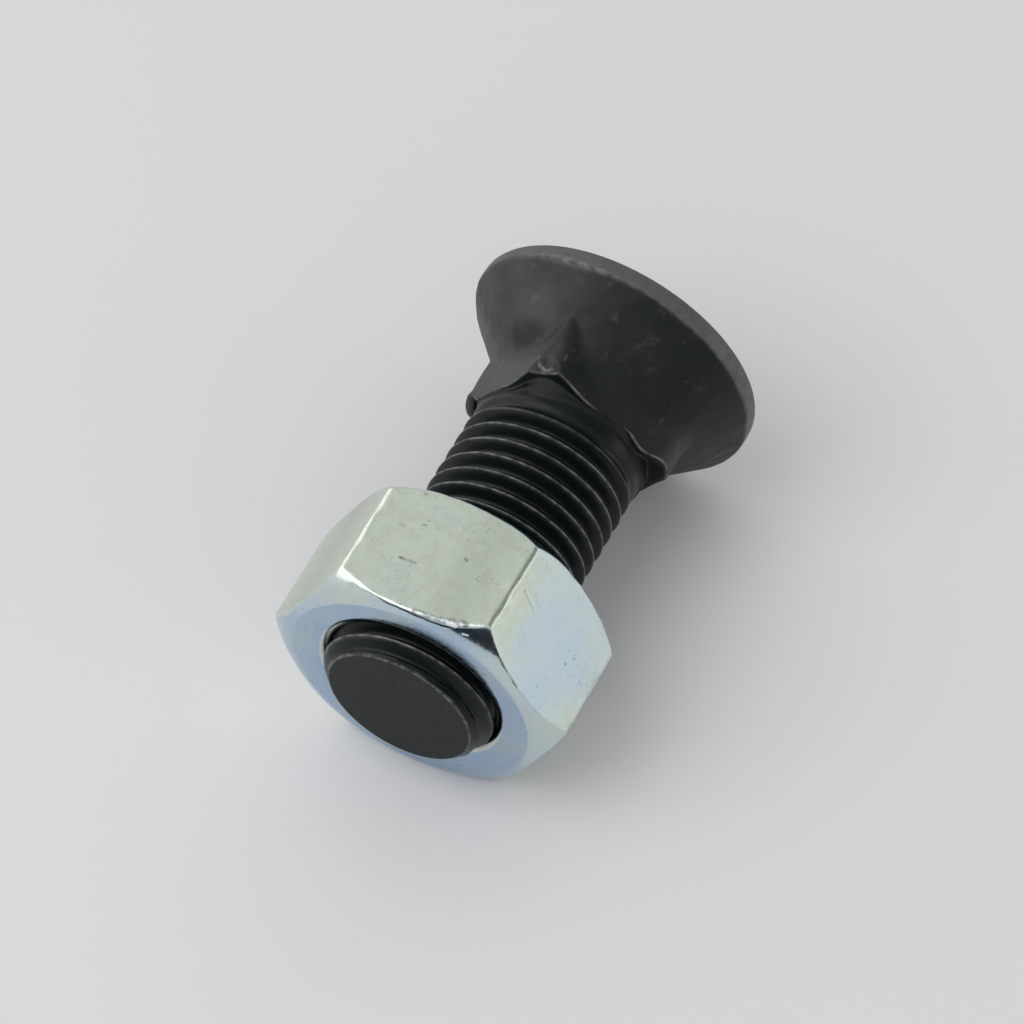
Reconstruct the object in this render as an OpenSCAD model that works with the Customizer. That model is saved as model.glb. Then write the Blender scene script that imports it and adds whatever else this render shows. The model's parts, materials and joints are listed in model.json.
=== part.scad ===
// Plow bolt with its hex nut, lying on a flat surface as it comes to rest.
// The bolt is one forging: flat countersunk head, square neck, threaded shank, chamfered end.
// Each piece is drawn along its own axis, head face at zero and tail up, and then laid down.
// The shank and the nut's bore are plain cylinders at the size of the thread crests.

/* [Thread] */
// Diameter over the thread crests
thread_d = 13.8; // [11:0.1:16]
// Distance from one thread crest to the next
thread_pitch = 1.5; // [1:0.25:2]

/* [Head] */
// Diameter of the head at its rim
head_d = 23.8; // [21.5:0.1:30]
// Height of the straight band round the rim
rim_h = 1.3; // [0.8:0.1:1.8]
// Bevel on the outer edge of the head's face
rim_bevel = 0.3; // [0.1:0.05:0.5]
// Full angle of the countersunk cone under the head
head_angle = 82; // [70:1:100]

/* [Square neck] */
// Width of the square across its flats
neck_w = 13.9; // [12:0.1:16]
// Diameter over the rounded corners of the square
neck_corner_d = 17.4; // [15:0.1:19.5]
// Depth from the head's face to the tail side of the square
neck_depth = 8.8; // [7:0.1:11]
// Turn of the square about the bolt, against the flats of the nut
neck_turn = 53; // [0:1:90]

/* [Shank] */
// Length from the head's face to the end of the thread
bolt_l = 35.7; // [31:0.1:60]
// Length of the bevel at the end of the thread
end_bevel = 1; // [0.5:0.1:1.5]

/* [Nut] */
// Width of the nut across its flats
nut_w = 21; // [20:0.1:23]
// Height of the nut
nut_h = 10.5; // [8:0.1:14]
// Diameter of the flat ring that the corner bevels leave on each face
nut_face_d = 20.6; // [18:0.1:20.9]
// Angle of the corner bevels to the faces
nut_face_angle = 38; // [20:1:45]
// Length of thread that stands out beyond the nut
thread_out = 1.9; // [1:0.05:8]
// Gap between the thread crests and the wall of the bore, on the radius
bore_gap = 0.05; // [0.02:0.01:0.1]
// Depth of the countersink at each end of the bore
countersink = 0.5; // [0.3:0.1:1.2]

/* [Hidden] */
$fn = 96;
// Room for cutting solids to run past the faces they cut
past = 1;
// Depth of a metric outside thread, as a share of its pitch
thread_depth_share = 0.6134;

thread_r = thread_d / 2;
end_r = thread_r - thread_depth_share * thread_pitch;
head_r = head_d / 2;
face_r = head_r - rim_bevel;
cone_h = (head_r - thread_r) / tan(head_angle / 2);
bore_r = thread_r + bore_gap;

nut_corner_r = nut_w / sqrt(3);
nut_face_r = nut_face_d / 2;
nut_top = bolt_l - thread_out;
nut_seat = nut_top - nut_h;
// Depth of the bevels where they cut the corners, and where they cut the middle of a flat
corner_bevel = (nut_corner_r - nut_face_r) * tan(nut_face_angle);
flat_bevel = max(0, nut_w / 2 - nut_face_r) * tan(nut_face_angle);

// At rest the rim of the head and the tail end of the nut's lowest flat touch the surface
flat_end = nut_top - flat_bevel;
lie_angle = atan((head_r - nut_w / 2) / (flat_end - rim_h));
axis_height = head_r * cos(lie_angle) + rim_h * sin(lie_angle);
axis_back = (bolt_l * cos(lie_angle) + (end_r - face_r) * sin(lie_angle)) / 2;

// Lays a piece down, head towards +Y, with the middle of the whole part over the origin
module lay_down() {
    translate([0, axis_back, axis_height]) rotate([90 + lie_angle, 0, 0]) children();
}

// Half section of the head, cone, shank and bevelled end
module bolt_half_section() {
    polygon([
        [0, 0],
        [face_r, 0],
        [head_r, rim_bevel],
        [head_r, rim_h],
        [thread_r, rim_h + cone_h],
        [thread_r, bolt_l - end_bevel],
        [end_r, bolt_l],
        [0, bolt_l],
    ]);
}

// The square under the head, its corners rounded to one diameter
module square_neck() {
    intersection() {
        translate([0, 0, rim_h]) rotate(neck_turn) linear_extrude(neck_depth - rim_h)
            square(neck_w, center = true);
        translate([0, 0, rim_h]) cylinder(d = neck_corner_d, h = neck_depth - rim_h);
    }
}

// Half section that bevels the corners of the nut at both faces
module nut_half_section() {
    polygon([
        [0, nut_seat],
        [nut_face_r, nut_seat],
        [nut_corner_r, nut_seat + corner_bevel],
        [nut_corner_r, nut_top - corner_bevel],
        [nut_face_r, nut_top],
        [0, nut_top],
    ]);
}

// Half section of the bore, with a countersink at each end
module bore_half_section() {
    polygon([
        [0, nut_seat - past],
        [bore_r + countersink + past, nut_seat - past],
        [bore_r, nut_seat + countersink],
        [bore_r, nut_top - countersink],
        [bore_r + countersink + past, nut_top + past],
        [0, nut_top + past],
    ]);
}

module plow_bolt() {
    color("#2c2e2d") lay_down() {
        rotate_extrude() bolt_half_section();
        square_neck();
    }
}

module hex_nut() {
    color("#b4c0bb") lay_down() difference() {
        intersection() {
            translate([0, 0, nut_seat]) cylinder(r = nut_corner_r, h = nut_h, $fn = 6);
            rotate_extrude() nut_half_section();
        }
        rotate_extrude() bore_half_section();
    }
}

plow_bolt();
hex_nut();
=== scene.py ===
"""Plow bolt with its hex nut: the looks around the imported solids.

The solids stay as the fixed frame. This script adds what they leave plain: the helical thread on the
shank and in the nut, the uneven forging of the head and neck, rounded and worn edges, the finishes, the
light and the camera. Lengths are millimetres along the bolt's own axis, from the face of the head to the
tail. Angles are degrees about that axis, with 0 at the row's +X and 90 at the top.
"""

import json
import math

import bpy
import numpy as np
from mathutils import Matrix, Vector

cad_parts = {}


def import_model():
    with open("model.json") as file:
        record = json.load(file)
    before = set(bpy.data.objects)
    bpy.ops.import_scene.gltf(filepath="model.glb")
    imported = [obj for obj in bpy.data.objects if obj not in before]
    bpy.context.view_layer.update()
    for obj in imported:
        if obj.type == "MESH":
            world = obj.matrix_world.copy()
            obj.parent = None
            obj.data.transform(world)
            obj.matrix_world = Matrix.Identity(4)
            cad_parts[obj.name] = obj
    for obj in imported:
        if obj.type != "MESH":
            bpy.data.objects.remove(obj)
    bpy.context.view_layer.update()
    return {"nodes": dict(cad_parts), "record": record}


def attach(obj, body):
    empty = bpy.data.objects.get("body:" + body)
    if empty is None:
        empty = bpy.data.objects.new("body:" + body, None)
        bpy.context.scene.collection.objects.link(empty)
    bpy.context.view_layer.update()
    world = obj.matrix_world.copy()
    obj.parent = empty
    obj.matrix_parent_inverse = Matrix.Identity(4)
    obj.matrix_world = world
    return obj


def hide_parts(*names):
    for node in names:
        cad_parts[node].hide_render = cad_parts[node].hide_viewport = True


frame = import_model()

MM = 0.001
mounts = {m["name"]: m for m in frame["record"]["mounts"]}
HEAD = np.array(mounts["head_face"]["pos_m"])
TAIL = -np.array(mounts["head_face"]["axis"])
TAIL /= np.linalg.norm(TAIL)
SIDE = np.array([1.0, 0.0, 0.0])
UP = np.cross(TAIL, SIDE)


def along(name):
    """How far a mount lies from the face of the head, towards the tail."""
    return float((np.array(mounts[name]["pos_m"]) - HEAD) @ TAIL) / MM


def reach(node):
    """Where a CAD node ends towards the tail, and its largest radius about the bolt's axis."""
    corners = np.array([v.co for v in frame["nodes"][node].data.vertices]) - HEAD
    return float((corners @ TAIL).max()) / MM, float(np.hypot(corners @ SIDE, corners @ UP).max()) / MM


# Head: its face and rim lean, and the rim stands off the shank's axis, as forged
BOLT_L, HEAD_R = reach("plow_bolt")
HEAD_ANGLE = 82
CONE_SLOPE = math.tan(math.radians(HEAD_ANGLE / 2))
FACE_LEAN, FACE_LEAN_ANGLE = 0.2, 18
RIM_EDGE = 0.35
RIM_H = along("countersunk_seat")
RIM_LEAN, RIM_LEAN_ANGLE = 0.5, 15
RIM_SHIFT, RIM_SHIFT_ANGLE = 0.35, 60
RIM_DIP, RIM_DIP_ANGLE = 0.12, -25
# Height over which the rim's band rounds into the cone
RIM_ROUND = 0.3
# Angle of the side that lies on the floor
FLOOR_ANGLE = 270

# Square neck: its corners lie 90 degrees apart. The near one stands out and has a blunt tip, and the left
# one is cut back and ends in a rounded ear
NECK_Z = along("square_neck")
NECK_HALF_W = 6.95
NECK_CORNER_R = 8.7
NEAR_CORNER = 98
LEFT_CORNER = NEAR_CORNER + 90
NEAR_CORNER_OUT = 0.9
LEFT_CORNER_CUT = 0.8
EAR_L, EAR_OUT = 0.7, 0.45
BLUNT_R, BLUNT_ANGLE = 7.75, 101
# Height of the rounding at the neck's tail edge
LEDGE_EDGE = 0.2

# Collar under the neck, shank and end
COLLAR_R = 6.98
COLLAR_FLARE = 0.45
COLLAR_Z = 9.7
COLLAR_FILLET = 0.2
COLLAR_FADE = 0.25
SHANK_R = 6.83
THREAD_R = 6.9
END_R = 5.98
END_BEVEL = 1.0
END_CUT, END_CUT_ANGLE = 0.25, 50
END_ROUND = 0.1

# Thread: its crest passes CREST_Z at CREST_ANGLE, and it fades in over RUN_OUT
PITCH = 1.5
DEPTH = 0.6134 * PITCH
CREST_Z = 11.83
CREST_ANGLE = 72
RUN_OUT = (10.4, 13.0)
THREAD_START = 10.55
# Shares of the pitch, from one root to the next, at which the thread's flanks are cut
HALF_PHASES = [0.03, 0.06, 0.085, 0.17, 0.27, 0.35, 0.42]
PHASES = np.array([-x for x in HALF_PHASES[::-1]] + [0] + HALF_PHASES + [0.5])

# Nut: its outer face tilts a little, and both faces fall away in a rounded bevel outside NUT_FACE_R
NUT_TOP, NUT_CORNER_R = reach("hex_nut")
NUT_SEAT = along("nut_bearing_face")
NUT_HALF_W = NUT_CORNER_R * math.cos(math.radians(30))
NUT_TILT = 0.17
NUT_FACE_R = 9.75
NUT_FACE_UP = 0.14
BEVEL_FILM = 0.8
NUT_EDGE = 0.55
NUT_DENTS = 0.03
BORE_GAP = 0.06
BORE_MINOR_R = 6.22
SINK_R, SINK_SHIFT, SINK_SHIFT_ANGLE = 7.45, 0.1, 120
SINK_EDGE = 0.5

# Marks of the finish on the head's face and on the end's face, and of the paler one on the rim, which is
# above the range of the haze elsewhere
FACE_HAZE = 0.6
END_HAZE = 0.14
RIM_PALE = 2.0

# Columns round the head, which are twice those round the thread, and in each sixth of the nut
HEAD_COLUMNS = 416
NUT_COLUMNS = 44
# Rows along the cone and neck, and along the nut's flats
NECK_ROWS = 56
NUT_ROWS = 60
# Edges that turn by more than this many degrees are shaded sharp
SHARP_ANGLE = 50


def smooth(low, high, x):
    """Rises from 0 at low to 1 at high, with level ends."""
    t = np.clip((x - low) / (high - low), 0, 1)
    return t * t * (3 - 2 * t)


def smin(a, b, k):
    """The smaller of two values, rounded over where they are within k of each other."""
    h = np.clip(0.5 + 0.5 * (b - a) / k, 0, 1)
    return b * (1 - h) + a * h - k * h * (1 - h)


def smax(a, b, k):
    """The larger of two values, rounded over where they are within k of each other."""
    return -smin(-a, -b, k)


def cosine(angle, middle):
    return np.cos(np.radians(angle - middle))


def turn_from(angle, other):
    """The turn in degrees from one angle to another, between -180 and 180."""
    return (angle - other + 180) % 360 - 180


def bump(angle, middle, width):
    """A rounded bump of height 1 about the middle angle."""
    return np.exp(-((turn_from(angle, middle) / width) ** 2))


def place(r, angle, z):
    """Points in the row frame, by radius, angle and place along the bolt."""
    r, turn, z = np.broadcast_arrays(r, np.radians(angle), z)
    across = (r * np.cos(turn))[..., None] * SIDE + (r * np.sin(turn))[..., None] * UP
    return HEAD + MM * (across + z[..., None] * TAIL)


def uneven(r, angle, z, size, seed):
    """Smooth unevenness between about -1 and 1 with bumps of that size, the same on every run."""
    points = place(r, angle, z) / MM
    rng = np.random.RandomState(seed)
    total = np.zeros(points.shape[:-1])
    for _ in range(7):
        way = rng.normal(size=3)
        way *= 2 * math.pi / size * rng.uniform(0.7, 1.4) / np.linalg.norm(way)
        total += np.sin(points @ way + rng.uniform(0, 2 * math.pi))
    return total / 3


class Skin:
    """One closed surface round the bolt's axis, made of rings of points.

    Each point has two marks, which become attributes that its material reads.
    """

    def __init__(self, angles):
        self.angles = angles
        self.points = []
        self.marks = []
        self.faces = []
        self.size = 0

    def add(self, r, angles, z, first=0.0, second=0.0):
        """Adds points by radius, angle, place and marks, and returns their numbers."""
        r, angles, z, first, second = np.broadcast_arrays(r, angles, z, first, second)
        self.points.append(place(r, angles, z).reshape(-1, 3))
        self.marks.append(np.stack([first.ravel(), second.ravel()], -1))
        numbers = self.size + np.arange(r.size)
        self.size += r.size
        return numbers

    def ring(self, r, z, first=0.0, second=0.0):
        return self.add(r, self.angles, z, first, second)

    def join(self, a, b):
        """Fills between two rings, of which the first may have twice the points of the second."""
        if len(a) == 2 * len(b):
            even, odd, nxt = a[::2], a[1::2], np.roll(a[::2], -1)
            on = np.roll(b, -1)
            for three in ((even, odd, b), (odd, on, b), (odd, nxt, on)):
                self.faces.extend(zip(*(side.tolist() for side in three)))
            return
        sides = (a, np.roll(a, -1), np.roll(b, -1), b)
        self.faces.extend(zip(*(side.tolist() for side in sides)))

    def rings(self, last, rows):
        """Adds rings one after the other, each a radius, a place and marks, and returns the last."""
        for row in rows:
            new = self.ring(*row)
            self.join(last, new)
            last = new
        return last

    def cap(self, ring, z, first=0.0, second=0.0):
        """Closes a ring with a point on the axis."""
        middle = int(self.add(0.0, 0.0, z, first, second)[0])
        self.faces.extend((a, b, middle) for a, b in zip(ring.tolist(), np.roll(ring, -1).tolist()))

    def thread(self, low, high, radius, marks):
        """Adds a threaded stretch with rows along the helix, cut square, and returns its end rings."""
        line = crest_line(self.angles)
        first_turn = math.floor((low - line.max()) / PITCH) - 2
        last_turn = math.ceil((high - line.min()) / PITCH) + 2
        turns = np.arange(first_turn, last_turn)
        z = line + PITCH * (turns[:, None] + PHASES).reshape(-1, 1)
        snap = 0.01
        below, above = z <= low + snap, z >= high - snap
        between = ~(below | above)

        def points(z, angles):
            return self.add(radius(z, angles), angles, z, *marks(z, angles))

        start = points(np.full_like(line, low), self.angles)
        stop = points(np.full_like(line, high), self.angles)
        number = np.where(below, start, stop)
        number[between] = points(z[between], np.broadcast_to(self.angles, z.shape)[between])
        # The last column meets the first one a whole turn further on
        n = len(PHASES)
        a, d = number[:-1], number[1:]
        b = np.full_like(a, -1)
        c = np.full_like(a, -1)
        b[:, :-1], c[:, :-1] = a[:, 1:], d[:, 1:]
        b[:-n, -1], c[:-n, -1] = a[n:, 0], d[n:, 0]
        for face in np.stack([a, b, c, d], -1)[b >= 0].tolist():
            corners = list(dict.fromkeys(face))
            if len(corners) > 2:
                self.faces.append(corners)
        return start, stop

    def mesh(self, name, mark_names):
        """The surface as a smooth-shaded mesh in metres in the row frame."""
        made = bpy.data.meshes.new(name)
        made.from_pydata(np.concatenate(self.points).tolist(), [], self.faces)
        marks = np.concatenate(self.marks)
        for k, mark_name in enumerate(mark_names):
            values = np.ascontiguousarray(marks[:, k])
            made.attributes.new(mark_name, "FLOAT", "POINT").data.foreach_set("value", values)
        made.shade_smooth()
        made.set_sharp_from_angle(angle=math.radians(SHARP_ANGLE))
        made.validate()
        return made


def crest_line(angle):
    """Where the thread's crest passes an angle, give or take whole turns."""
    return CREST_Z + PITCH * (angle - CREST_ANGLE) / 360


def thread_phase(z, angle):
    """How far a point lies from the nearest crest, as a share of the pitch."""
    x = (z - crest_line(angle)) / PITCH
    return x - np.round(x)


def thread_drop(x):
    """Depth under the crest at a share x of the pitch from it, rounded at crest and root."""
    flank = (np.abs(x) - 1 / 16) * PITCH / math.tan(math.radians(30))
    return smin(smax(flank, 0 * flank, 0.1), DEPTH + 0 * flank, 0.25)


def square_r(angle, z):
    """Radius of the square neck, its corners rounded, the near one out and the left one cut back."""
    off_corner = np.abs((angle - NEAR_CORNER + 45) % 90 - 45)
    flat = NECK_HALF_W / np.cos(np.radians(45 - off_corner))
    left_cut = LEFT_CORNER_CUT - 0.15 * smooth(8.5, 6.5, z)
    near_out = NEAR_CORNER_OUT * smooth(9.5, 4.5, z)
    corner = NECK_CORNER_R + near_out * bump(angle, NEAR_CORNER, 30)
    return smin(flat, corner - left_cut * bump(angle, LEFT_CORNER, 30), 0.3)


def end_r(angle):
    """Radius of the end's face, whose bevel is wider towards the upper right."""
    return END_R - END_CUT * (0.5 + 0.5 * cosine(angle, END_CUT_ANGLE))


def rim_r(angle):
    """Radius of the head's rim about the shank's axis, as in the solid where it touches the floor."""
    shift = RIM_SHIFT * np.maximum(cosine(angle, RIM_SHIFT_ANGLE), -0.5)
    shift = shift - RIM_DIP * bump(angle, RIM_DIP_ANGLE, 35)
    return HEAD_R + shift * (1 - bump(angle, FLOOR_ANGLE, 35))


def rim_low(angle):
    """Where the rim's band ends and the cone starts."""
    return RIM_H + RIM_LEAN * cosine(angle, RIM_LEAN_ANGLE)


def ledge_z(angle):
    """Where the square neck ends towards the tail: further on along its flats, furthest on the left one."""
    left_flat = 1.4 * smooth(96, 124, angle) * smooth(176, 158, angle)
    right_flat = 0.55 * bump(angle, 27, 9) + 0.65 * bump(angle, 70, 23)
    right_corner = 0.2 * bump(angle, NEAR_CORNER - 90, 6)
    return NECK_Z + (right_flat + left_flat) - right_corner


def haze_and_light(angle):
    """How grey the finish is round the head, partly a real grey haze and partly painted light: most on the
    upper left, where the light falls, and a little on the lower right.
    """
    return 0.2 + 0.8 * smooth(86, 116, angle) * smooth(300, 210, angle) + 0.5 * bump(angle, -6, 20)


def rim_worn(angle):
    """How far the rim's band is rubbed to the metal: a little, and more on the right."""
    return 0.1 + 0.14 * bump(angle, 10, 40)


def bolt_head(skin):
    """The head's face, its rounded edge and the band round its rim."""
    angle = skin.angles
    lean = FACE_LEAN * cosine(angle, FACE_LEAN_ANGLE)
    rim = rim_r(angle)
    worn = rim_worn(angle)
    rows = [(r, lean * r / HEAD_R, 0.0, FACE_HAZE) for r in (1.5, 3.5, 6, 8.5, 10.3, 11.2)]
    for a in np.radians(np.linspace(0, 90, 6)):
        r, z = rim - RIM_EDGE * (1 - math.sin(a)), lean + RIM_EDGE * (1 - math.cos(a))
        rows.append((r, z, worn, RIM_PALE))
    top, low = lean + RIM_EDGE, rim_low(angle) - RIM_ROUND
    for share in (0.3, 0.6):
        z = top + share * (low - top)
        rows.append((rim + 0.03 * uneven(rim, angle, z, 4.0, 3), z, worn, RIM_PALE))
    first = skin.ring(*rows[0])
    skin.cap(first[::-1], 0.0, 0.0, FACE_HAZE)
    return skin.rings(first, rows[1:])


def bolt_neck(skin, last):
    """The countersunk cone with the square neck growing out of it, down to the neck's tail edge."""
    angle = skin.angles
    rim, low, ledge = rim_r(angle), rim_low(angle), ledge_z(angle)
    start, stop = low - RIM_ROUND, ledge - LEDGE_EDGE
    # The right flat runs into the cone more softly than the others
    blend = 0.4 + 0.7 * smooth(95, 82, angle) * smooth(2, 20, angle)
    corner = np.maximum.reduce([bump(angle, NEAR_CORNER + 90 * k, 2.5) for k in range(4)])
    # The edge between rim and cone is rubbed most at the top left
    top_left = bump(angle, 105, 18)
    cone_edge = 0.06 + 0.16 * smooth(-0.6, 0.6, cosine(angle, 40)) + 0.25 * top_left
    left_side = smooth(100, 112, angle) * smooth(230, 190, angle)
    # The rows lie closer together towards the rim
    for share in np.linspace(0, 1, NECK_ROWS) ** 1.2:
        z = start + share * (stop - start)
        cone = smin(rim, rim - (z - low) * CONE_SLOPE, 0.25)
        r = smax(cone, square_r(angle, z), blend)
        blunt = BLUNT_R + 1.1 * (ledge - z) + 2 * (1 - bump(angle, BLUNT_ANGLE, 14))
        r = smin(r, blunt, 0.12)
        r = r + 0.03 * uneven(r, angle, z, 5.0, 3) + 0.018 * uneven(r, angle, z, 1.6, 4)
        band = smooth(0.1, -0.1, z - low)
        rubbed = cone_edge * np.exp(-(((z - low) / (0.1 + 0.2 * top_left)) ** 2))
        rubbed = np.maximum(rubbed, 0.12 * corner * smooth(5.0, NECK_Z, z))
        rubbed = np.maximum(rubbed, rim_worn(angle) * band)
        # The left face of the neck is greyer still: painted light where the light falls on it
        grey = haze_and_light(angle) * (1 + 0.5 * smooth(5.5, 7.5, z) * left_side)
        last = skin.rings(last, [(r, z, rubbed, np.maximum(grey, RIM_PALE * band))])
    return last, r


def bolt_collar(skin, last, neck):
    """The neck's rounded tail edge, its ledge with the ear, and the low collar down to the shank."""
    angle = skin.angles
    edge = ledge_z(angle)
    grey = haze_and_light(angle)
    flare = bump(angle, BLUNT_ANGLE + 1, 13)
    collar = COLLAR_R + COLLAR_FLARE * flare
    step = np.maximum(neck - collar, 0.02)
    lobe = bump(angle, LEFT_CORNER - 2, 12)
    fillet = np.minimum(COLLAR_FILLET, 0.45 * step)
    bevel, depth = fillet + 0.35 * lobe, LEDGE_EDGE + 0.35 * lobe
    # The edge is rubbed on the side that shows, less along the left flat
    side = smooth(175, 150, angle) * (1 - 0.5 * bump(angle, 125, 22))

    def lifted(r, z):
        """A place on the ledge, further towards the tail at the ear."""
        return z + EAR_L * lobe * smooth(7.0, 7.5, r)

    for a in np.radians(np.linspace(15, 90, 5)):
        r = neck - bevel * (1 - math.cos(a)) + EAR_OUT * lobe * math.sin(2 * a)
        rubbed = 0.6 * math.sin(2 * a) * smooth(0.04, 0.25, step) * (0.2 + 0.8 * side)
        last = skin.rings(last, [(r, lifted(r, edge - depth + depth * math.sin(a)), rubbed, grey)])
    for share in (0.2, 0.4, 0.6, 0.8, 1):
        r = neck - bevel + share * (collar + fillet - neck + bevel)
        last = skin.rings(last, [(r, lifted(r, edge), 0.0, 0.15 * grey)])
    for a in np.radians((30, 60, 90)):
        r = collar + fillet * (1 - math.sin(a))
        last = skin.rings(last, [(r, lifted(r, edge + fillet * (1 - math.cos(a))), 0.0, 0.1 * grey)])
    low = COLLAR_Z + 0.5 * flare + 0.15 * uneven(COLLAR_R, angle, COLLAR_Z, 6.0, 8)
    low = np.minimum(np.maximum(low, lifted(collar, edge) + 0.35), THREAD_START - 0.15)
    top = lifted(collar, edge) + fillet
    for share in (0.2, 0.4, 0.6, 0.8):
        z = top + share * (low - COLLAR_FADE / 2 - top)
        r = COLLAR_R + (collar - COLLAR_R) * (1 - share) ** 1.5
        last = skin.rings(last, [(r, z, 0.0, 0.1)])
    for share in (0, 0.25, 0.5, 0.75, 1):
        r = COLLAR_R - (COLLAR_R - SHANK_R) * share * share * (3 - 2 * share)
        last = skin.rings(last, [(r, low + COLLAR_FADE * (share - 0.5), 0.0, 0.1 * (1 - share))])
    return last


def bolt_thread(skin, last):
    """The thread from its run-out under the collar to the bevelled end, and the end's face."""

    def radius(z, at):
        shank = SHANK_R + (THREAD_R - SHANK_R) * smooth(10.8, 12.4, z)
        cut = thread_drop(thread_phase(z, at)) * smooth(*RUN_OUT, z)
        end = end_r(at) + (BOLT_L - z) * (THREAD_R - END_R) / END_BEVEL
        return smin(shank - cut, end, 0.06) + 0.012 * uneven(shank, at, z, 2.5, 6)

    def marks(z, at):
        crest = 0.62 * np.exp(-((thread_phase(z, at) / 0.06) ** 2)) * smooth(10.9, 13.2, z)
        crest = crest * smooth(BOLT_L, BOLT_L - 0.9, z)
        edge = 0.45 * smooth(BOLT_L - 0.16, BOLT_L - END_ROUND, z)
        return np.maximum(crest, edge), 0 * z

    start, last_thread = skin.thread(THREAD_START, BOLT_L - END_ROUND, radius, marks)
    skin.join(last, start)
    end = end_r(skin.angles)
    rows = [(end - 0.01, BOLT_L - 0.02, 0.55, 0.2), (end - 0.06, BOLT_L, 0.05, 0.2)]
    rows += [(r, BOLT_L, 0.0, END_HAZE) for r in (end - 0.2, 5, 4, 2.6, 1.2)]
    skin.cap(skin.rings(last_thread, rows), BOLT_L, 0.0, END_HAZE)


def bolt_mesh():
    """The bolt: leaning head, cone, square neck, collar, thread and bevelled end."""
    skin = Skin(np.arange(0, 360, 360 / HEAD_COLUMNS))
    last, neck = bolt_neck(skin, bolt_head(skin))
    last = bolt_collar(skin, last, neck)
    skin.angles = skin.angles[::2]
    bolt_thread(skin, last)
    return skin.mesh("bolt_skin", ("wear", "haze_and_light"))


def hex_r(angle):
    """Radius of the nut's hexagon, with a corner at 0 and the corners rounded."""
    off_corner = np.radians(np.abs((angle + 30) % 60 - 30))
    flat = NUT_HALF_W / np.cos(np.radians(30) - off_corner)
    middle = (NUT_HALF_W - NUT_EDGE) / math.cos(math.radians(30))
    inside = np.maximum(NUT_EDGE**2 - (middle * np.sin(off_corner)) ** 2, 0)
    arc = middle * np.cos(off_corner) + np.sqrt(inside)
    share = (NUT_HALF_W - NUT_EDGE) / NUT_HALF_W
    tangent = math.radians(30) - math.atan(share * math.tan(math.radians(30)))
    return np.where(off_corner < tangent, arc, flat)


def nut_angles():
    """Angles round the nut, closer together at its corners."""
    share = np.arange(0, 1, 1 / NUT_COLUMNS)
    sector = 60 * (share - 0.75 * np.sin(2 * math.pi * share) / (2 * math.pi))
    return np.concatenate([60 * k + sector for k in range(6)])


def bevel_fall(r):
    """How far a face of the nut falls away outside its flat ring, steeper towards the corners."""
    out = np.maximum(r - NUT_FACE_R, 0)
    return 0.22 * out + 0.19 * out * out


def outer_face_z(r, angle):
    """The nut's outer face with its bevel, the side at 180 degrees a little further towards the tail."""
    tilt = NUT_TILT * cosine(angle, 0) * r / NUT_HALF_W
    return NUT_TOP + NUT_FACE_UP - tilt - bevel_fall(r)


def bearing_face_z(r, angle):
    """The nut's bearing face with its bevel."""
    return NUT_SEAT - NUT_FACE_UP + bevel_fall(r) + 0 * angle


def sink_r(angle):
    """Radius of the countersink's lip, which stands a little to the upper left of the bore."""
    return SINK_R + SINK_SHIFT * cosine(angle, SINK_SHIFT_ANGLE)


def rounded(p, q, s, size, steps):
    """Points round the corner q of the path p, q, s, starting and ending that far from it."""
    p, q, s = (np.stack(np.broadcast_arrays(*v, nut_angles())[:2]) for v in (p, q, s))
    a = q + (p - q) * size / np.hypot(*(p - q))
    b = q + (s - q) * size / np.hypot(*(s - q))
    shares = np.linspace(0, 1, steps)
    return [tuple((1 - t) ** 2 * a + 2 * t * (1 - t) * q + t * t * b) for t in shares]


def film(angle, polish):
    """How blue the nut's film is: greenish on the top and left flats, blue on the faces and right flat.

    Below 0 it means painted shade: a little on the left flat and on the right of the top one, and most in
    the bore and countersinks, where it stands for the shade inside the nut.
    """
    # The dips at 150 and 72 degrees are painted shade on the left flat and on the right of the top flat,
    # not film
    side = 0.15 + 0.5 * bump(angle, 30, 24) - 0.42 * bump(angle, 150, 40) - 0.38 * bump(angle, 72, 20)
    return side * (1 - polish) + 0.85 * polish


def bevel_film_and_highlight(angle):
    """The same on the bevels, painted paler by the upper left and right corners: a painted reflection of
    the bright light there.
    """
    return BEVEL_FILM - 0.45 * bump(angle, 120, 25) - 0.4 * bump(angle, 15, 30)


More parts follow.
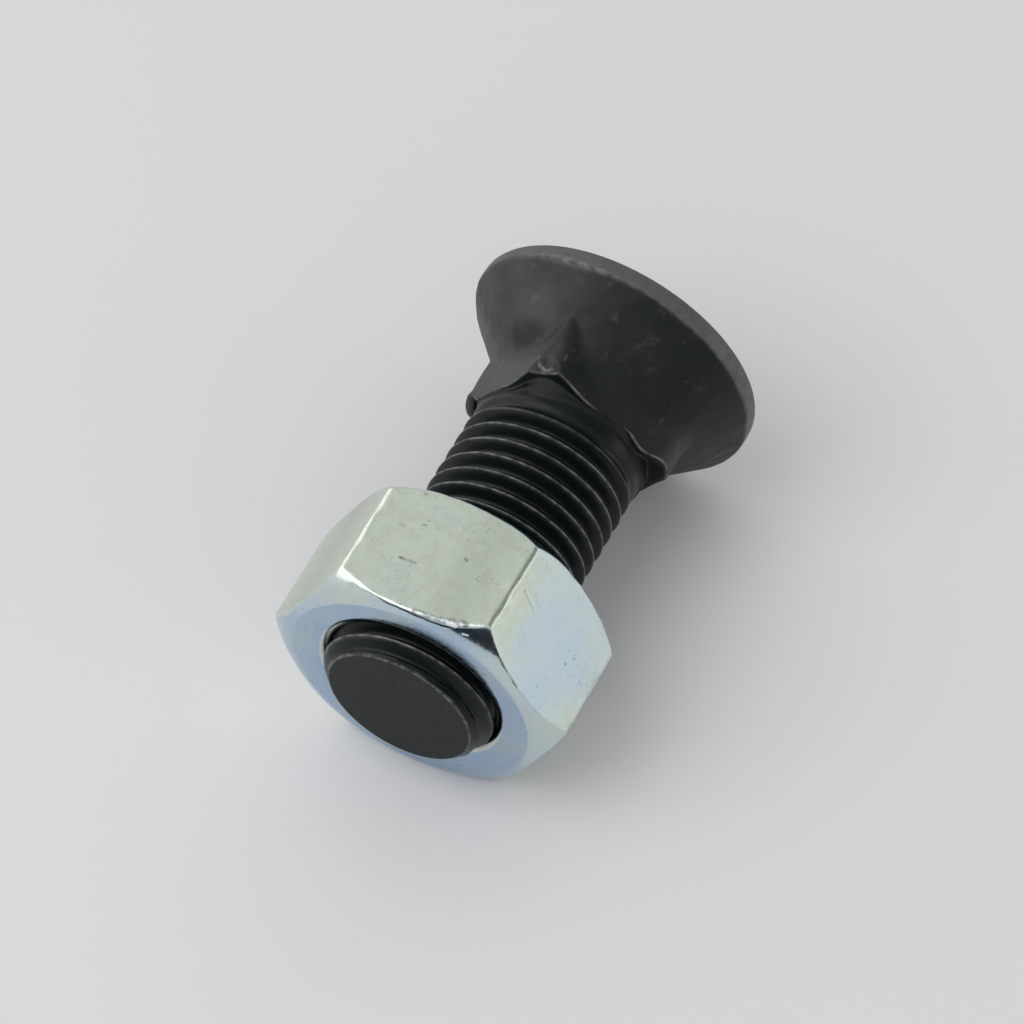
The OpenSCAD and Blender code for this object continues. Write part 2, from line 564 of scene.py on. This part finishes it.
def nut_mesh():
    """The nut: threaded bore, countersinks, two faces, corner bevels and six flats."""
    skin = Skin(nut_angles())
    angle = skin.angles
    outer = hex_r(angle)

    def radius(z, at):
        cut = np.maximum(THREAD_R + BORE_GAP - thread_drop(thread_phase(z, at)), BORE_MINOR_R)
        sink = sink_r(at) - np.minimum(NUT_TOP - z, z - NUT_SEAT)
        return smax(cut, sink, 0.08)

    # The bore gets film -1: painted shade for the dark inside of the nut
    def marks(z, at):
        return 0 * z, -1 + 0 * z

    start, last = skin.thread(NUT_SEAT + SINK_EDGE, NUT_TOP - SINK_EDGE, radius, marks)

    def half(face, inward):
        """Rows from the countersink at one face to the edge of the flats."""
        lip_r = sink_r(angle)
        sink = (lip_r - SINK_EDGE, face(lip_r, angle) + inward * SINK_EDGE)
        lip = (lip_r, face(lip_r, angle))
        out, rim = (lip_r + 1, face(lip_r + 1, angle)), (outer, face(outer, angle))
        near, middle = (outer - 0.3, face(outer - 0.3, angle)), (outer, (NUT_TOP + NUT_SEAT) / 2)
        # The countersink rows nearest the bore get film below 0: painted shade running down into the bore
        dark = np.linspace(-1, 1, 8)
        ring = [row + (1.0, film(angle, 1.0) if d > 0 else d) for row, d in
                zip(rounded(sink, lip, out, SINK_EDGE * 1.3, 8), dark)]
        start_r = ring[-1][0]
        for share in (0.25, 0.5, 0.75, 0.9, 1):
            r = start_r + share * (NUT_FACE_R - 0.2 - start_r)
            ring.append((r, face(r, angle), 1.0, film(angle, 1.0)))
        # The rounding towards the flats is uneven, and widest at the right of the top one
        size = 0.2 + 0.09 * uneven(outer, angle, NUT_TOP, 1.5, 11) + 0.3 * bump(angle, 75, 11)
        # The bevel rows are painted paler near the upper left and right corners: a painted reflection of
        # the light
        for share in np.linspace(0, 1, 12)[:-1]:
            r = NUT_FACE_R + 0.15 + share * (outer - size - 0.1 - NUT_FACE_R)
            ring.append((r, face(r, angle), 1.0, bevel_film_and_highlight(angle)))
        edge = rounded(near, rim, middle, size, 9)
        for row, polish in zip(edge, np.linspace(1, 0, 9)):
            ring.append(row + (polish, bevel_film_and_highlight(angle) * polish + film(angle, 0.0) * (1 - polish)))
        return ring

    top = half(outer_face_z, -1)
    bottom = half(bearing_face_z, 1)[::-1]
    side = []
    corner = np.maximum.reduce([bump(angle, 60 * k, 2.2) for k in range(6)])
    for share in np.linspace(0, 1, NUT_ROWS)[1:-1]:
        z = top[-1][1] + share * (bottom[0][1] - top[-1][1])
        dents = NUT_DENTS * corner * uneven(outer, angle, z, 1.3, 12)
        dents = dents * smooth(0, 0.1, share) * smooth(1, 0.9, share)
        side.append((outer - dents, z, 0.0, film(angle, 0.0)))
    last = skin.rings(last, top + side + bottom)
    skin.join(last, start)
    skin.faces = [face[::-1] for face in skin.faces]
    return skin.mesh("nut_skin", ("polish", "film"))


def add(tree, kind, inputs=None, **settings):
    """Adds a shader node. An input is a number, a colour or another node's output."""
    made = tree.nodes.new("ShaderNode" + kind)
    for name, value in settings.items():
        setattr(made, name, value)
    for name, value in (inputs or {}).items():
        if isinstance(value, bpy.types.NodeSocket):
            tree.links.new(value, made.inputs[name])
        else:
            made.inputs[name].default_value = value
    return made


def mix(tree, share, a, b):
    """Mixes two colours."""
    return add(tree, "Mix", {0: share, 6: a, 7: b}, data_type="RGBA").outputs[2]


def ramp(tree, value, low, high, start=0.0, stop=1.0):
    """Maps a value from low to high onto start to stop, smoothly."""
    inputs = {"Value": value, "From Min": low, "From Max": high, "To Min": start, "To Max": stop}
    return add(tree, "MapRange", inputs, interpolation_type="SMOOTHSTEP").outputs["Result"]


def maths(tree, operation, a, b):
    return add(tree, "Math", {0: a, 1: b}, operation=operation).outputs[0]


def vector(tree, operation, a, b):
    return add(tree, "VectorMath", {0: a, 1: b}, operation=operation)


def attribute(tree, name):
    return add(tree, "Attribute", attribute_name=name).outputs["Fac"]


def noise(tree, where, size, detail=3.0, roughness=0.55):
    """Noise with blotches of that size in millimetres."""
    inputs = {"Vector": where, "Scale": 1 / (size * MM), "Detail": detail, "Roughness": roughness}
    return add(tree, "TexNoise", inputs).outputs["Fac"]


def stroke(tree, where, start, stop, width):
    """1 on the line between two points, each a radius, angle and place, and 0 a width away from it."""
    a, b = Vector(place(*start)), Vector(place(*stop))
    from_start = vector(tree, "SUBTRACT", where, a).outputs[0]
    share = vector(tree, "DOT_PRODUCT", from_start, (b - a) / (b - a).length_squared).outputs["Value"]
    share = add(tree, "Clamp", {"Value": share}).outputs[0]
    nearest = add(tree, "VectorMath", {0: b - a, "Scale": share}, operation="SCALE").outputs[0]
    away = vector(tree, "DISTANCE", from_start, nearest).outputs["Value"]
    return ramp(tree, away, 0.3 * width * MM, width * MM, 1.0, 0.0)


def strokes(tree, where, marks):
    """The strongest of several strokes, each two ends, a width and a strength."""
    total = 0.0
    for start, stop, width, strength in marks:
        shown = maths(tree, "MULTIPLY", stroke(tree, where, start, stop, width), strength)
        total = maths(tree, "MAXIMUM", shown, total)
    return total


def new_material(name):
    made = bpy.data.materials.new(name)
    made.use_nodes = True
    made.node_tree.nodes.clear()
    return made, made.node_tree


def surface(tree, inputs):
    """Ends a material with one principled shader."""
    shader = add(tree, "BsdfPrincipled", inputs)
    out = add(tree, "OutputMaterial")
    tree.links.new(shader.outputs[0], out.inputs["Surface"])


def black_steel():
    """Black finish on forged steel, greyer in patches and rubbed to the metal on crests and edges, with
    painted light greying the upper left of the head and the left face of the neck.
    """
    made, tree = new_material("black_steel")
    where = add(tree, "TexCoord").outputs["Object"]
    grain = noise(tree, where, 0.35)
    patches = ramp(tree, noise(tree, where, 4.0, 4.0), 0.34, 0.66, 0.55, 1.0)
    haze_level = attribute(tree, "haze_and_light")
    cloud = ramp(tree, noise(tree, where, 2.0), 0.3, 0.6)
    stained = maths(tree, "MULTIPLY", strokes(tree, where, STAINS), cloud)
    stains = maths(tree, "SUBTRACT", 1.0, stained)
    # The haze mark is partly painted light, greyest where the light falls on the upper left
    grey = maths(tree, "MULTIPLY", maths(tree, "MULTIPLY", haze_level, patches), stains)
    base = mix(tree, grey, BLACK, GREY_HAZE_AND_LIGHT)
    base = mix(tree, ramp(tree, haze_level, 1.6, RIM_PALE), base, RIM_GREY)
    rubbed = ramp(tree, noise(tree, where, 0.7, 5.0, 0.65), 0.36, 0.64, 0.2, 1.0)
    worn = maths(tree, "MULTIPLY", attribute(tree, "wear"), rubbed)
    scuffs = maths(tree, "MULTIPLY", strokes(tree, where, SCUFFS), rubbed)
    worn = maths(tree, "MAXIMUM", worn, scuffs)
    flecks = ramp(tree, noise(tree, where, 1.6, 5.0, 0.7), 0.57, 0.72, 0.0, 0.1)
    flecks = maths(tree, "MULTIPLY", flecks, ramp(tree, haze_level, 0.15, 0.17))
    worn = maths(tree, "MAXIMUM", worn, flecks)
    colour = mix(tree, worn, base, BARE_STEEL)
    # The thread has next to no haze, and is smoother than the forged surfaces
    rough = ramp(tree, grain, 0.3, 0.7, 0.44, 0.52)
    sheen = ramp(tree, haze_level, 0.0, 0.1, 0.16, 0.0)
    height = add(tree, "Bump", {"Strength": 0.12, "Distance": 0.00006, "Height": grain}).outputs["Normal"]
    surface(tree, {
        "Base Color": colour,
        "Metallic": maths(tree, "MULTIPLY", worn, 0.6),
        "Specular IOR Level": 0.2,
        "Roughness": maths(tree, "SUBTRACT", rough, sheen),
        "Normal": height,
    })
    return made


def zinc_plate():
    """Zinc plate under a thin film that runs from greenish to blue, mottled, with dark specks, painted
    shade in the bore, a painted dark reflection by the top flat and painted highlights on two bevels.
    """
    made, tree = new_material("zinc_plate")
    where = add(tree, "TexCoord").outputs["Object"]
    grain = noise(tree, where, 0.25)
    drift = ramp(tree, noise(tree, where, 6.0, 3.0), 0.25, 0.75, -0.3, 0.3)
    film_level = attribute(tree, "film")
    shade = maths(tree, "ADD", film_level, drift)
    base = mix(tree, shade, GREENISH_ZINC, BLUE_ZINC)
    cloudy = ramp(tree, noise(tree, where, 2.5, 4.0), 0.35, 0.65)
    blue = mix(tree, cloudy, DEEP_BLUE_ZINC, GREYER_ZINC)
    base = mix(tree, ramp(tree, film_level, 0.68, 0.85), base, blue)
    polish = attribute(tree, "polish")
    mottle = ramp(tree, noise(tree, where, 0.8, 5.0, 0.7), 0.38, 0.7, 0.0, 0.6)
    mottle = maths(tree, "MULTIPLY", mottle, ramp(tree, film_level, 0.15, 0.55, 1.0, 0.25))
    base = mix(tree, mottle, base, YELLOWED_ZINC)
    # Film below 0 mixes towards near-black: painted shade in the bore and countersinks, and a little on the
    # left and top flats
    base = mix(tree, ramp(tree, film_level, 0.0, -1.0), base, BORE_PAINTED_SHADE)
    broken = ramp(tree, noise(tree, where, 0.4, 2.0), 0.4, 0.6, 0.5, 1.0)
    clusters = ramp(tree, noise(tree, where, 3.0, 2.0), 0.45, 0.6)
    specks = ramp(tree, noise(tree, where, 0.28, 2.0), 0.61, 0.71, 0.0, 0.5)
    specks = maths(tree, "MULTIPLY", specks, clusters)
    # The scratch strokes include a painted dark reflection along the top flat's edge to the bevel
    scratches_and_reflection = maths(tree, "MULTIPLY", strokes(tree, where, SCRATCHES_AND_DARK_REFLECTION), broken)
    colour = mix(tree, maths(tree, "MAXIMUM", specks, scratches_and_reflection), base, SCRATCH_AND_REFLECTION_DARK)
    flecks = strokes(tree, where, FLECKS)
    colour = mix(tree, flecks, colour, FLECK_PALE)
    height = add(tree, "Bump", {"Strength": 0.2, "Distance": 0.00003, "Height": grain}).outputs["Normal"]
    rough = ramp(tree, grain, 0.3, 0.7, 0.32, 0.4)
    surface(tree, {
        "Base Color": colour,
        "Metallic": maths(tree, "SUBTRACT", 1.0, flecks),
        "Roughness": maths(tree, "SUBTRACT", rough, maths(tree, "MULTIPLY", polish, 0.22)),
        "Normal": height,
    })
    return made


def plain(name, colour, roughness):
    """One flat colour."""
    made, tree = new_material(name)
    surface(tree, {"Base Color": colour, "Roughness": roughness})
    return made


def piece(mesh, name, material, body, node):
    """Shows a mesh in place of a CAD node."""
    made = bpy.data.objects.new(name, mesh)
    bpy.context.scene.collection.objects.link(made)
    mesh.materials.append(material)
    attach(made, body)
    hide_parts(node)
    return made


def stage_mesh(name, points, faces, material):
    """A mesh that is not part of the object."""
    mesh = bpy.data.meshes.new(name)
    mesh.from_pydata(points, [], faces)
    mesh.materials.append(material)
    made = bpy.data.objects.new(name, mesh)
    bpy.context.scene.collection.objects.link(made)
    return made


def floor(half, material):
    """A square floor at the height the part lies on."""
    corners = [(-half, -half, 0), (half, -half, 0), (half, half, 0), (-half, half, 0)]
    stage_mesh("floor", corners, [(0, 1, 2, 3)], material)


def flag(away, low, high, start, stop, material):
    """A bent dark studio flag round the part, between two directions, which only reflections see."""
    bend = np.radians(np.linspace(start, stop, 24))
    points = [(away * math.cos(a), away * math.sin(a), z) for z in (low, high) for a in bend]
    n = len(bend)
    made = stage_mesh("flag", points, [(k, k + 1, n + k + 1, n + k) for k in range(n - 1)], material)
    made.visible_camera = False
    made.visible_diffuse = False
    made.visible_shadow = False


def area_lamp(name, towards, distance, width, height, radiance, only_reflected=False):
    """A soft light in that direction, aimed at the part, or a panel that only reflections see."""
    data = bpy.data.lights.new(name, "AREA")
    data.shape = "RECTANGLE"
    data.size = width
    data.size_y = height
    data.energy = radiance * math.pi * width * height
    made = bpy.data.objects.new(name, data)
    bpy.context.scene.collection.objects.link(made)
    way = Vector(towards).normalized()
    made.location = way * distance + Vector((0, 0, 0.01))
    made.rotation_mode = "QUATERNION"
    made.rotation_quaternion = (-way).to_track_quat("-Z", "Y")
    made.visible_diffuse = not only_reflected


def world(level, dim_side, dim):
    """Soft light from all round at one level, dimmer about one direction, and pale behind the part."""
    made = bpy.data.worlds.new("studio")
    bpy.context.scene.world = made
    made.use_nodes = True
    tree = made.node_tree
    tree.nodes.clear()
    way = add(tree, "TexCoord").outputs["Generated"]
    side = vector(tree, "DOT_PRODUCT", way, Vector(dim_side).normalized()).outputs["Value"]
    # The dim part fades out between 14 and 37 degrees from its middle
    strength = ramp(tree, side, 0.8, 0.97, level, dim)
    soft = add(tree, "Background", {"Color": (0.99, 1.0, 0.99, 1), "Strength": strength})
    pale = add(tree, "Background", {"Color": (0.8, 0.8, 0.82, 1), "Strength": 1.0})
    both = add(tree, "MixShader", {"Fac": add(tree, "LightPath").outputs["Is Camera Ray"]})
    tree.links.new(soft.outputs[0], both.inputs[1])
    tree.links.new(pale.outputs[0], both.inputs[2])
    out = add(tree, "OutputWorld")
    tree.links.new(both.outputs[0], out.inputs["Surface"])


def camera(spot, right, forward, lens):
    """The photograph's viewpoint: a long lens, from the tail's side and above."""
    forward = Vector(forward).normalized()
    right = Vector(right)
    right = (right - forward * right.dot(forward)).normalized()
    data = bpy.data.cameras.new("camera")
    data.sensor_width = 36
    data.lens = lens
    data.clip_start = 0.01
    data.clip_end = 20
    made = bpy.data.objects.new("camera", data)
    bpy.context.scene.collection.objects.link(made)
    turn = Matrix((right, right.cross(forward), -forward)).transposed().to_4x4()
    made.matrix_world = Matrix.Translation(Vector(spot)) @ turn
    bpy.context.scene.camera = made


# Colours of the bolt
BLACK = (0.0035, 0.0085, 0.0073, 1)
# Grey of the haze, also used as painted light on the lit upper left of the head
GREY_HAZE_AND_LIGHT = (0.062, 0.063, 0.057, 1)
RIM_GREY = (0.092, 0.096, 0.1, 1)
BARE_STEEL = (0.31, 0.312, 0.29, 1)
# Colours of the nut
GREENISH_ZINC = (0.65, 0.72, 0.64, 1)
BLUE_ZINC = (0.52, 0.66, 0.82, 1)
DEEP_BLUE_ZINC = (0.37, 0.50, 0.67, 1)
GREYER_ZINC = (0.42, 0.54, 0.63, 1)
YELLOWED_ZINC = (0.57, 0.59, 0.47, 1)
# Painted shade for the nut's bore and countersinks, and for the darker parts of two flats
BORE_PAINTED_SHADE = (0.03, 0.033, 0.035, 1)
# Dark of the scratch marks and specks, and of the painted dark reflection by the top flat
SCRATCH_AND_REFLECTION_DARK = (0.16, 0.17, 0.16, 1)
FLECK_PALE = (0.85, 0.87, 0.86, 1)
# Colours of the stage, which is matt
PALE_FLOOR = (0.86, 0.855, 0.875, 1)
DARK_FLAG = (0.02, 0.02, 0.02, 1)
MATT = 0.9

# Strokes rubbed to the metal on the head and neck, by radius, angle and place, with width and strength
SCUFFS = [
    ((10.7, 37, 2.7), (10.9, 30, 2.55), 0.22, 0.4),
    ((11.1, 23, 2.3), (11.2, 17, 2.1), 0.2, 0.4),
    ((10.9, 27, 2.5), (10.6, 25, 3.0), 0.18, 0.4),
    ((11.1, 73.5, 2.1), (10.8, 74, 2.4), 0.14, 0.35),
    ((10.6, 72, 2.7), (10.8, 70.5, 2.5), 0.14, 0.35),
    ((7.6, 32, 6.2), (7.6, 30, 6.25), 0.14, 0.5),
    ((8.85, 92, 7.5), (8.8, 92, 7.8), 0.16, 0.5),
    ((8.65, 105, 8.2), (8.3, 104, 8.65), 0.2, 0.6),
    ((8.3, 104, 8.65), (7.9, 99.5, 8.75), 0.2, 0.8),
    ((7.9, 99.5, 8.75), (8.35, 96, 8.65), 0.2, 0.7),
]
# Blacker stains on the cone and neck
STAINS = [
    ((8.12, 131, 5.65), (8.08, 120, 5.7), 1.7, 0.75),
    ((8.01, 148, 5.8), (8.1, 142, 5.7), 1.2, 0.4),
]
# Dark scratch marks on the top and right flats of the nut, and a painted dark reflection along the top
# one's edge to the bevel
SCRATCHES_AND_DARK_REFLECTION = [
    # The first two strokes are a painted dark reflection, not worn plate
    ((10.45, 87, 33.55), (10.75, 76, 33.35), 0.3, 0.85),
    ((10.75, 76, 33.35), (11.3, 67, 32.9), 0.42, 0.9),
    ((10.8, 103.5, 29.9), (10.58, 97, 29.86), 0.16, 0.8),
    ((11.2, 110.5, 27.36), (11.1, 108.5, 27.34), 0.14, 0.5),
    ((10.75, 102.5, 26.6), (10.7, 101.5, 26.55), 0.14, 0.5),
    ((10.68, 79.5, 28.0), (10.66, 80.5, 27.9), 0.16, 0.7),
    ((11.65, 56, 27.9), (10.98, 47, 28.3), 0.1, 0.5),
    ((10.75, 17.5, 28.7), (10.73, 18, 28.75), 0.12, 0.6),
]
# Bright flecks in the bevel beside the top flat
FLECKS = [
    ((10.6, 86, 33.6), (10.6, 84, 33.55), 0.2, 0.8),
    ((10.9, 73, 33.45), (11.0, 70, 33.3), 0.25, 0.9),
    ((10.75, 78, 33.42), (10.8, 76.5, 33.4), 0.12, 0.9),
    ((11.15, 69, 33.1), (11.2, 68, 33.05), 0.14, 0.9),
    ((10.8, 66, 33.4), (10.9, 64, 33.3), 0.14, 0.8),
]

piece(bolt_mesh(), "bolt", black_steel(), "bolt", "plow_bolt")
piece(nut_mesh(), "nut", zinc_plate(), "nut", "hex_nut")
floor(3.0, plain("floor", PALE_FLOOR, MATT))
flag(
    away=0.16,
    low=0.001,
    high=0.075,
    start=-112,
    stop=-15,
    material=plain("flag", DARK_FLAG, MATT),
)
world(level=0.68, dim_side=(0.55, 0.5, 0.67), dim=0.2)
area_lamp("key", towards=(-0.35, -0.4, 0.85), distance=0.5, width=0.35, height=0.35, radiance=1.6)
area_lamp(
    "left_panel",
    towards=(-0.9, -0.11, 0.45),
    distance=0.6,
    width=1.1,
    height=0.6,
    radiance=1.0,
    only_reflected=True,
)
area_lamp(
    "right_panel",
    towards=(0.82, 0.52, 0.08),
    distance=0.5,
    width=0.5,
    height=0.12,
    radiance=1.2,
    only_reflected=True,
)
camera(
    spot=(0.1219, -0.23515, 0.37541),
    right=(0.8897, 0.4564, -0.00284),
    forward=(-0.2713, 0.52391, -0.80743),
    lens=210.94,
)

bpy.context.scene.view_settings.view_transform = "Standard"
